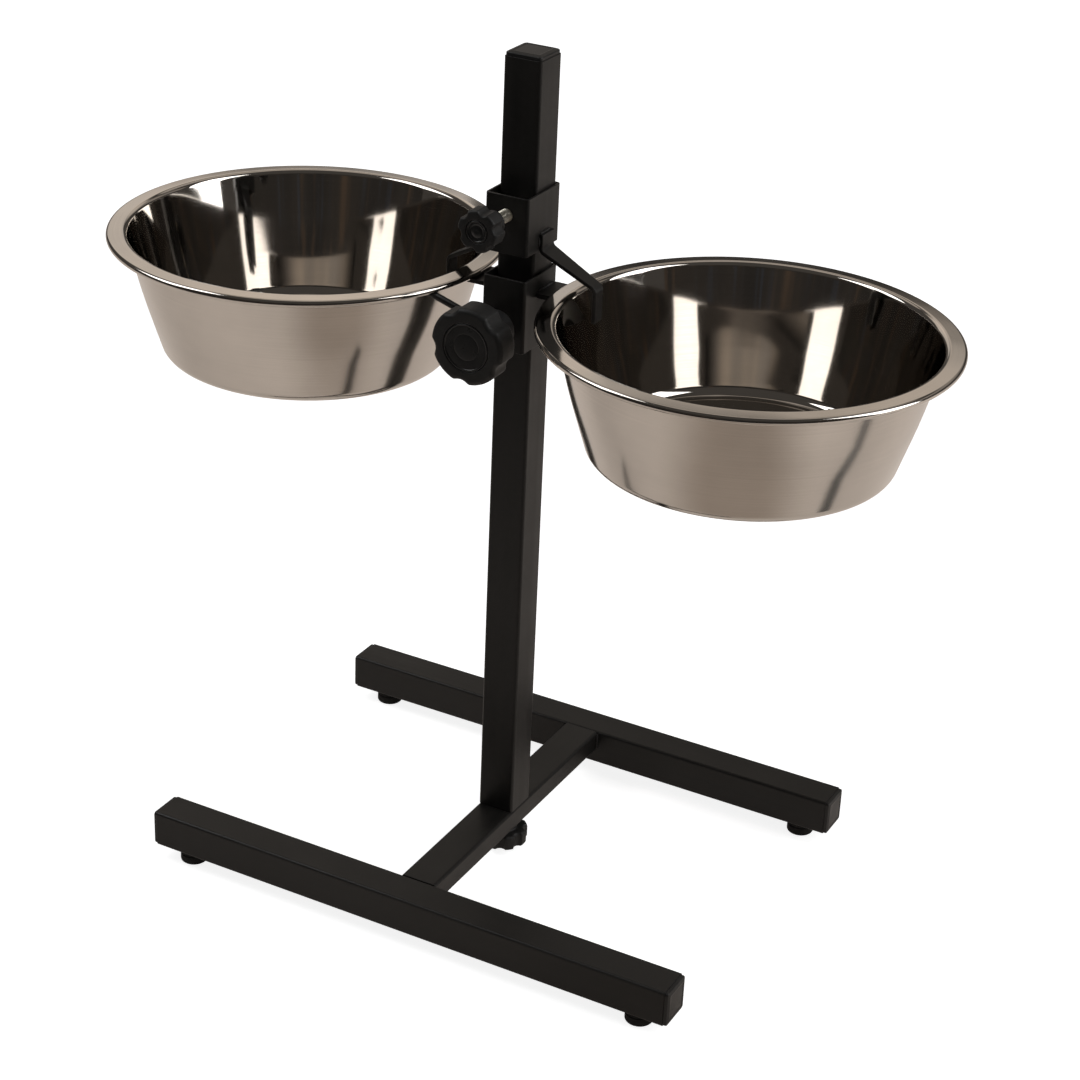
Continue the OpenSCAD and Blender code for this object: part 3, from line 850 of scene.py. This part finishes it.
def studio():
    """Floor, surroundings, lamps and cards."""
    white_surroundings()
    pale_floor()
    for name, lamp in LAMPS.items():
        soft_light(name, *lamp)
    for name, card in CARDS.items():
        studio_card(name, *card)
    stand_leg()
    scene.view_settings.view_transform = "Standard"


photo_camera()
studio()

COAT_X = powder_coat("powder_coat_along_x", "X")
COAT_Y = powder_coat("powder_coat_along_y", "Y")
COAT_Z = powder_coat("powder_coat_along_z", "Z")
COAT = powder_coat("powder_coat", None)
CAP_FINISH = moulded_plastic("cap_plastic", 0.011, 0.42, 1400, 0.05 * mm)
KNOB_FINISH = moulded_plastic("knob_plastic", 0.0095, 0.52, 1900, 0.12 * mm)
FACE_FINISH = moulded_plastic("knob_face_plastic", 0.012, 0.28, 2600, 0.03 * mm)
RUBBER = foot_rubber()
ZINC = zinc_plate()


def tubes():
    """Floor bars, cross bar and post."""
    for node, along, finish in (("front_bar", "X", COAT_X), ("rear_bar", "X", COAT_X),
                                ("cross_bar", "Y", COAT_Y), ("post", "Z", COAT_Z)):
        dress(tube(node + "_tube", node, along, finish), "frame", [node])


def tube_cap(name, seat, outward):
    """A push-in cap: a bevelled band round a flat field, and a hollow plug inside the tube."""
    place = Matrix.Translation(seat) @ Vector(outward).to_track_quat("Z", "Y").to_matrix().to_4x4()
    plug = TUBE_WALL - (TUBE_SIDE - CAP_SIDE) / 2 + CAP_PLAY
    shoulder = CAP_PLATE - 1.4 * mm
    field = CAP_PLATE - CAP_GROOVE
    stations = [(plug + CAP_WALL, 0), (plug + CAP_WALL, -CAP_PLUG), (plug + 0.6 * mm, -CAP_PLUG),
                (plug, 1.5 * mm - CAP_PLUG), (plug, 0), (0.15 * mm, 0), (0, 0.15 * mm), (0, shoulder)]
    stations += [(inset, shoulder + rise) for inset, rise in quarter_round(CAP_EDGE)[1:]]
    stations += [(CAP_BAND - 0.5 * mm, CAP_PLATE - 0.05 * mm), (CAP_BAND, CAP_PLATE),
                 (CAP_BAND + 0.5 * mm, CAP_PLATE - 0.04 * mm), (CAP_BAND + 0.9 * mm, field),
                 (CAP_BAND + 1.6 * mm, field + 0.05 * mm), (CAP_SIDE * 0.40, field + 0.15 * mm)]

    def corner(inset):
        return max(TUBE_CORNER - 0.5 * inset, 0.3 * mm)

    return loft(name, stack(stations, CAP_SIDE, CAP_SIDE, corner, place), CAP_FINISH)


def caps():
    """The caps in the ends of the floor bars and on the post."""
    for row in ("front", "rear"):
        low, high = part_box(row + "_bar")
        middle = (low + high) / 2
        for side, end, sign in (("left", low.x, -1), ("right", high.x, 1)):
            node = f"{row}_{side}_cap"
            made = tube_cap(node + "_moulding", (end, middle.y, middle.z), (sign, 0, 0))
            dress(made, "frame", [node])
    made = tube_cap("post_cap_moulding", (0, 0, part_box("post")[1].z), (0, 0, 1))
    dress(made, "frame", ["post_cap"])


def feet():
    """Rubber feet with a rounded edge, a waist and a sunk seat for the screw."""
    for corner in CORNERS:
        node = corner + "_foot"
        low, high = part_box(node)
        radius = (high.x - low.x) / 2
        height = high.z - low.z
        hole, recess, sink = 2.3 * mm, FOOT_RECESS / 2, 4.5 * mm
        profile = [(hole, height), (hole, sink), (recess - 0.3 * mm, sink), (recess, sink - 0.3 * mm)]
        profile += [(recess, 0.4 * mm), (recess + 0.4 * mm, 0)]
        profile += arc((radius - FOOT_EDGE, FOOT_EDGE), FOOT_EDGE, -90, 90, 8)
        profile += arc((radius - 0.05 * mm, height * 0.62), 0.55 * mm, -90, -180, 6)
        profile += arc((radius - 0.6 * mm, height - 0.6 * mm), 0.6 * mm, 0, 90, 5)
        profile.append((hole, height))
        place = Matrix.Translation((low.x + radius, low.y + radius, low.z))
        dress(turned(node + "_rubber", profile, [RUBBER], place, 72), "frame", [node])


def bowl_profile(radius, height):
    """Section of a bowl from its outside bottom over the rolled edge to its inside bottom.

    Also gives how many of its points lie outside and the radius where the rim starts.
    """
    half = BOWL_SHEET / 2
    roll = (RIM_ROLL - BOWL_SHEET) / 2
    roll_x = radius - RIM_ROLL / 2
    roll_z = height - RIM_FALL - RIM_ROLL / 2
    rim_x = radius - RIM_WIDTH
    rim_z = height - half
    lean = radians(WALL_LEAN)
    foot_x = rim_x - (rim_z - half) * tan(lean)
    knee_x = (foot_x + rim_x) / 2 + WALL_SWELL * cos(lean)
    knee_z = (half + rim_z) / 2 - WALL_SWELL * sin(lean)
    corners = [(0, half, 0, 0), (foot_x, half, BOWL_CORNER, 16), (knee_x, knee_z, SWELL_BEND, 12),
               (rim_x, rim_z, RIM_BEND, 16), (roll_x, roll_z + roll, 0, 0)]
    path = bent_path(corners)
    dense = []
    for (here, left), (there, left_there) in zip(path, path[1:]):
        parts = max(1, round((there - here).length / (3 * mm)))
        dense += [(here.lerp(there, i / parts), left.slerp(left_there, i / parts)) for i in range(parts)]
    steps = 26
    for i in range(steps + 1):
        turn = radians(90 - ROLL_TURN * i / steps)
        spoke = Vector((cos(turn), sin(turn)))
        dense.append((Vector((roll_x, roll_z)) + spoke * roll, spoke))
    outside = [tuple(point - left * half) for point, left in dense]
    inside = [tuple(point + left * half) for point, left in dense]
    return outside + inside[::-1], len(outside), rim_x


def bowls():
    """The two steel bowls: mirror-polished inside, bright rim, satin outside."""
    for side in ("left", "right"):
        node = side + "_bowl"
        low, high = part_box(node)
        middle = (low + high) / 2
        radius = (high.x - low.x) / 2
        height = high.z - low.z
        profile, outer, rim_start = bowl_profile(radius, height)
        outside = steel(side + "_bowl_satin", middle, 0.12, 5200, 0.012 * mm)
        rim = steel(side + "_bowl_rim_polish", middle, 0.085, 3600, 0.005 * mm)
        inside = steel(side + "_bowl_mirror", middle, 0.05, 2600, 0.004 * mm)
        places = {point: i for i, point in enumerate(profile)}

        def skin(r, z):
            if r > rim_start and z > height - RIM_ROLL - RIM_FALL - mm:
                return 1
            return 0 if places[(r, z)] < outer else 2

        place = Matrix.Translation((middle.x, middle.y, low.z))
        made = turned(node + "_shell", profile, [outside, rim, inside], place, 256, {"skin": skin})
        dress(made, node, [node], 60)


def knob(name, sizes, place, screw_in):
    """A lobed hand knob on z = 0: hub, rounded lobes, a ringed seat for the face plate, a blind bore."""
    hub, head, face = sizes.hub_d / 2, sizes.head_d / 2, sizes.face_d / 2
    hub_l, edge = sizes.hub_l, sizes.edge
    top = hub_l + sizes.head_t
    root = hub + 1.2 * mm
    field = head - edge
    bore = SCREW / 2 + 0.1 * mm
    profile = [(0, screw_in), (bore, screw_in), (bore, 0.5 * mm), (bore + 0.5 * mm, 0)]
    profile += arc((hub - 0.8 * mm, 0.8 * mm), 0.8 * mm, -90, 90, 5)
    profile += arc((root, hub_l - 1.2 * mm), 1.2 * mm, 180, -90, 5)
    profile += [(root + (field - root) * i / 4, hub_l) for i in range(1, 4)]
    profile += arc((field, hub_l + edge), edge, -90, 90, 9)
    profile += arc((field, top - edge), edge, 0, 90, 9)
    if face:
        lip = face + 0.1 * mm
        profile += [(lip + (field - lip) * i / 5, top) for i in range(4, 1, -1)]
        profile += arc((lip + FACE_LIP, top - FACE_LIP), FACE_LIP, 90, 90, 6)
        profile += [(lip, top - FACE_SEAT), (0, top - FACE_SEAT)]
    else:
        profile += [(field * i / 5, top) for i in range(4, -1, -1)]
    start = max(face + 1.0 * mm, root)

    def lobed(r, z):
        if z < hub_l - 0.01 * mm or r < start:
            return 0
        return min(1, (r - start) / (field - start))

    return turned(name, profile, [KNOB_FINISH], place, 360, {"lobed": lobed},
                  lobes=float(sizes.lobes), lobe_radius=head, notch_radius=sizes.notch_d / 2,
                  notch_depth=sizes.notch, notch_turn=radians(sizes.turn), softness=0.09 * head)


def knob_plate(name, sizes, place):
    """The round plate in a knob's face, with a raised bead at its edge and a shallow ring inside."""
    face = sizes.face_d / 2
    top = sizes.hub_l + sizes.head_t - FACE_SINK
    bottom = top - 1.5 * mm
    profile = [(0, bottom), (face, bottom)]
    profile += arc((face - FACE_BEAD, top + FACE_SINK - FACE_BEAD), FACE_BEAD, 0, 150, 12)
    profile += [(face - 2.1 * FACE_BEAD, top), (face - 2.6 * FACE_BEAD, top)]
    ring, groove = face * 0.55, top - 0.15 * mm
    profile += [(ring + 0.5 * mm, top), (ring + 0.25 * mm, groove), (ring - 0.25 * mm, groove),
                (ring - 0.5 * mm, top), (face * 0.2, top), (0, top)]
    return turned(name, profile, [FACE_FINISH], place, 160)


def hand_screw(name, length, place):
    """A threaded screw from its chamfered tip at z = 0 up to its end."""
    radius = SCREW / 2
    per_turn = 10
    count = round(length / PITCH * per_turn)
    heights = [length * i / count for i in range(1, count)]
    profile = [(0, 0), (radius - SCREW_TIP, 0)]
    profile += [(min(radius, radius - SCREW_TIP + height), height) for height in heights]
    profile += [(radius, length), (0, length)]

    def threaded(r, z):
        return 1 if r > radius - SCREW_TIP * 0.9 else 0

    return turned(name, profile, [ZINC], place, 48, {"threaded": threaded}, thread_depth=THREAD_DEPTH)


def ring_profile(inner, outer, height, inside, outside):
    """Section of a ring with bevels of a width and height at its inside and outside edges."""
    low = [(inner, inside[1]), (inner + inside[0], 0), (outer - outside[0], 0), (outer, outside[1])]
    return low + [(r, height - z) for r, z in reversed(low)] + low[:1]


def hex_nut(name, height, place):
    """A chamfered hexagon nut with a plain bore."""
    bore = SCREW / 2 + 0.05 * mm
    corner = NUT_FLATS / 2 / cos(pi / 6)
    profile = ring_profile(bore, corner, height, (0.5 * mm, 0.5 * mm), (1.8 * mm, 0.9 * mm))
    return turned(name, profile, [ZINC], place, 96, flats=6.0, across_flats=NUT_FLATS)


def screw_and_knob(level, sizes, at_tip, length, at_hub, screw_in):
    """The screw of a clamp and the knob on it."""
    made = hand_screw(level + "_screw_thread", length, at_tip)
    dress(made, level + "_screw", [level + "_screw"])
    made = knob(level + "_knob_moulding", sizes, at_hub, screw_in + 0.1 * mm)
    dress(made, level + "_knob", [level + "_knob"])


def clamp(level, sizes):
    """Screw, nut, knob and face plate of one sleeve, on their common axis."""
    screw_low, screw_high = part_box(level + "_screw")
    nut_low, nut_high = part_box(level + "_nut")
    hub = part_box(level + "_knob")[1].y
    axis = centre_of(level + "_screw")
    at_tip, at_hub, at_nut = [Matrix.Translation((axis.x, y, axis.z)) @ TO_FRONT
                              for y in (screw_high.y, hub, nut_high.y)]
    screw_and_knob(level, sizes, at_tip, screw_high.y - screw_low.y, at_hub, hub - screw_low.y)
    made = knob_plate(level + "_knob_plate", sizes, at_hub)
    dress(made, level + "_knob", [level + "_knob_face"])
    at_nut = at_nut @ Matrix.Rotation(pi / 6, 4, "Z")
    made = hex_nut(level + "_hex_nut", nut_high.y - nut_low.y, at_nut)
    dress(made, level + "_carrier", [level + "_nut"])


def base_clamp():
    """The hand screw under the post, its knob and its washer."""
    screw_low, screw_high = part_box("base_screw")
    washer_low, washer_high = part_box("base_washer")
    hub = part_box("base_knob")[1].z
    at_tip, at_hub = [Matrix.Translation((0, 0, z)) @ UPSIDE_DOWN for z in (screw_high.z, hub)]
    screw_and_knob("base", BASE_KNOB, at_tip, screw_high.z - screw_low.z, at_hub, hub - screw_low.z)
    outer = (washer_high.x - washer_low.x) / 2
    height = washer_high.z - washer_low.z
    soft = (0.25 * mm, 0.25 * mm)
    profile = ring_profile(SCREW_HOLE / 2, outer, height, soft, soft)
    made = turned("base_washer_ring", profile, [ZINC], Matrix.Translation((0, 0, washer_low.z)), 96)
    dress(made, "frame", ["base_washer"])


def sleeves():
    """The two sleeves on the post, drilled for their screws."""
    for level in ("lower", "upper"):
        node = level + "_sleeve"
        made = tube(node + "_tube", node, "Z", COAT_Z)
        drill(made, (0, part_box(node)[0].y, centre_of(level + "_screw").z))
        dress(made, level + "_carrier", [node])


def seats():
    """Seat plates with rounded edges and the brace rods beside them."""
    for side, sign in SIDES:
        node = side + "_plate"
        made = loft(node + "_strip", block(*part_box(node), 0.5 * mm, 1.5 * mm), COAT_Y)
        dress(made, "lower_carrier", [node])
        brace(side, sign)


def brace_line(side, sign):
    """Root and top of a rod's middle line: near the front on the left, near the rear on the right."""
    low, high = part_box("lower_sleeve")
    bowl_low, bowl_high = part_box(side + "_bowl")
    aside = (high.y - low.y) / 2 - BRACE_INSET
    edge = (bowl_high.x - bowl_low.x - RIM_ROLL) / 2
    bowl_x = abs(bowl_low.x + bowl_high.x) / 2
    reach = bowl_x - sqrt(edge ** 2 - (aside + BRACE_SPREAD) ** 2) - high.x
    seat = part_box(side + "_plate")[1].z
    root = Vector((sign * high.x, (low.y + high.y) / 2 + sign * aside, seat - BRACE_FALL))
    return root, root + Vector((sign * reach, sign * BRACE_SPREAD, BRACE_FALL))


def rod_end(root, top, count):
    """Direction of a rod, the spokes of its round section and the ring where it meets the sleeve."""
    run = (top - root).normalized()
    turn = run.to_track_quat("Z", "Y").to_matrix()
    angles = [tau * i / count for i in range(count)]
    spokes = [turn @ Vector((cos(angle), sin(angle), 0)) * BRACE / 2 for angle in angles]
    return run, spokes, [root + spoke - run * (spoke.x / run.x) for spoke in spokes]


def brace(side, sign):
    """A round rod from the sleeve's side to the bowl's rolled edge, cut flat at both ends."""
    root, top = brace_line(side, sign)
    run, spokes, start = rod_end(root, top, 32)
    end = [top + spoke - run * (spoke.z / run.z) for spoke in spokes]
    parts = 12
    rings = [[a.lerp(b, i / parts) for a, b in zip(start, end)] for i in range(parts + 1)]
    dress(loft(side + "_brace_rod", rings, COAT), "lower_carrier", [side + "_brace"])


def arms():
    """The bent flat arms on the upper sleeve whose fingers reach into the bowls."""
    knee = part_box("upper_sleeve")[0].z
    for side, sign in SIDES:
        node = side + "_arm"
        low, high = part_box(node)
        near, far = (low.x, high.x) if sign > 0 else (-high.x, -low.x)
        tab = near + ARM_T / 2
        finger = far - ARM_T / 2
        corners = [(tab, high.z, 0, 0), (tab, knee, ARM_BEND, 10), (finger, low.z + ARM_FINGER, ARM_BEND, 10),
                   (finger, low.z, 0, 0)]
        path = bent_path(corners)
        soft = 0.4 * mm
        ends = quarter_round(soft)
        stations = [(path[0], inset, soft - rise) for inset, rise in reversed(ends)]
        stations += [(step, 0, 0) for step in path[1:-1]]
        stations += [(path[-1], inset, rise - soft) for inset, rise in ends]
        rings = []
        for (point, left), inset, shift in stations:
            ahead = Vector((left.y, -left.x))
            taper = min(1, max(0, (point.x - tab - ARM_T) / (finger - tab - 2 * ARM_T)))
            width = high.y - low.y - taper * ARM_TAPER
            outline = rounded_rectangle(ARM_T - 2 * inset, width - 2 * inset, 0.55 * mm - inset)
            flat = [(point + left * u + ahead * shift, v) for u, v in outline]
            rings.append([Vector((sign * spot.x, high.y - width / 2 + v, spot.y)) for spot, v in flat])
        dress(loft(node + "_strip", rings, COAT), "upper_carrier", [node])


def foot_screws():
    """Four pan-head screws with a cross recess, sunk into the feet, as copies of one screw."""
    radius, head = FOOT_SCREW / 2, FOOT_HEAD / 2
    low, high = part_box("foot_screws")
    length = high.z - low.z
    profile = [(0, length), (radius - 0.4 * mm, length), (radius, length - 0.8 * mm), (radius, FOOT_HEAD_H)]
    profile += [(head - 0.1 * mm, FOOT_HEAD_H), (head, FOOT_HEAD_H - 0.3 * mm)]
    profile += [(head * (1 - i / 16), 0.9 * mm * (1 - sin(acos(1 - i / 16)))) for i in range(1, 16)]
    profile.append((0, 0))
    one = turned("foot_screw", profile, [ZINC], Matrix.Identity(4), 64)
    for vertex in one.data.vertices:
        x, y, z = vertex.co
        reach = max(abs(x), abs(y))
        if z < 1.0 * mm and min(abs(x), abs(y)) < 0.45 * mm and reach < 1.9 * mm:
            vertex.co.z += 1.2 * mm * (1 - reach / (2.4 * mm))
    tree, given = new_tree("screw_copies", [("Screw", "Object"), ("Finish", "Material")])
    points = given("Geometry")
    screw = points.node("GeometryNodeObjectInfo", {"Object": given("Screw")}, out="Geometry")
    copies = points.node("GeometryNodeInstanceOnPoints", {"Points": points, "Instance": screw})
    end_tree(copies, [given("Finish")])
    middles = [centre_of(corner + "_foot") for corner in CORNERS]
    places = [[(middle.x, middle.y, low.z)] for middle in middles]
    made = run_tree("foot_screw_set", chain("foot_screw_set", places), tree, {"Screw": one, "Finish": ZINC})
    bpy.data.objects.remove(one)
    clean(made.data)
    dress(made, "frame", ["foot_screws"])


def post_block():
    """The block in the foot of the post that takes the base screw."""
    low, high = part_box("post_nut")
    side = high.x - low.x
    bore = SCREW / 2 + 0.05 * mm
    corner = 1.0 * mm
    rings = block(low, high, 0.5 * mm, corner)
    angles = [atan2(v, u) for u, v in rounded_rectangle(side, side, corner)]
    for level in (high.z, low.z):
        rings.append([Vector((bore * cos(angle), bore * sin(angle), level)) for angle in angles])
    dress(loft("post_nut_block", rings, ZINC, closed=True), "frame", ["post_nut"])


def line(start, end, parts=6):
    """Points on a straight run."""
    return [Vector(start).lerp(Vector(end), i / parts) for i in range(parts + 1)]


def welds():
    """Weld beads where bars, sleeves, plates, rods and arms meet, one mesh for each body."""
    low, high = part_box("cross_bar")
    small = 1.5 * mm
    runs = []
    for y in (low.y, high.y):
        for x in (low.x, high.x):
            runs.append(line((x, y, low.z + small), (x, y, high.z - small)))
        runs.append(line((low.x + small, y, low.z), (high.x - small, y, low.z)))
    dress(beads("base_welds", runs, 1.6 * mm, COAT), "frame")
    seat_runs, arm_runs = [], []
    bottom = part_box("upper_sleeve")[0].z + 3 * mm
    for side, sign in SIDES:
        low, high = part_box(side + "_plate")
        wall = high.x if sign < 0 else low.x
        for z in (low.z, high.z):
            seat_runs.append(line((wall, low.y + 3 * mm, z), (wall, high.y - 3 * mm, z)))
        ring = rod_end(*brace_line(side, sign), 24)[2]
        seat_runs.append(ring + ring[:1])
        low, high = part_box(side + "_arm")
        wall = high.x if sign < 0 else low.x
        for y in (low.y, high.y):
            arm_runs.append(line((wall, y, bottom), (wall, y, high.z - small)))
        arm_runs.append(line((wall, low.y + small, high.z), (wall, high.y - small, high.z)))
    dress(beads("seat_welds", seat_runs, 1.1 * mm, COAT), "lower_carrier")
    dress(beads("arm_welds", arm_runs, 1.1 * mm, COAT), "upper_carrier")


tubes()
caps()
feet()
foot_screws()
post_block()
base_clamp()
sleeves()
seats()
arms()
clamp("lower", LOWER_KNOB)
clamp("upper", UPPER_KNOB)
welds()
bowls()
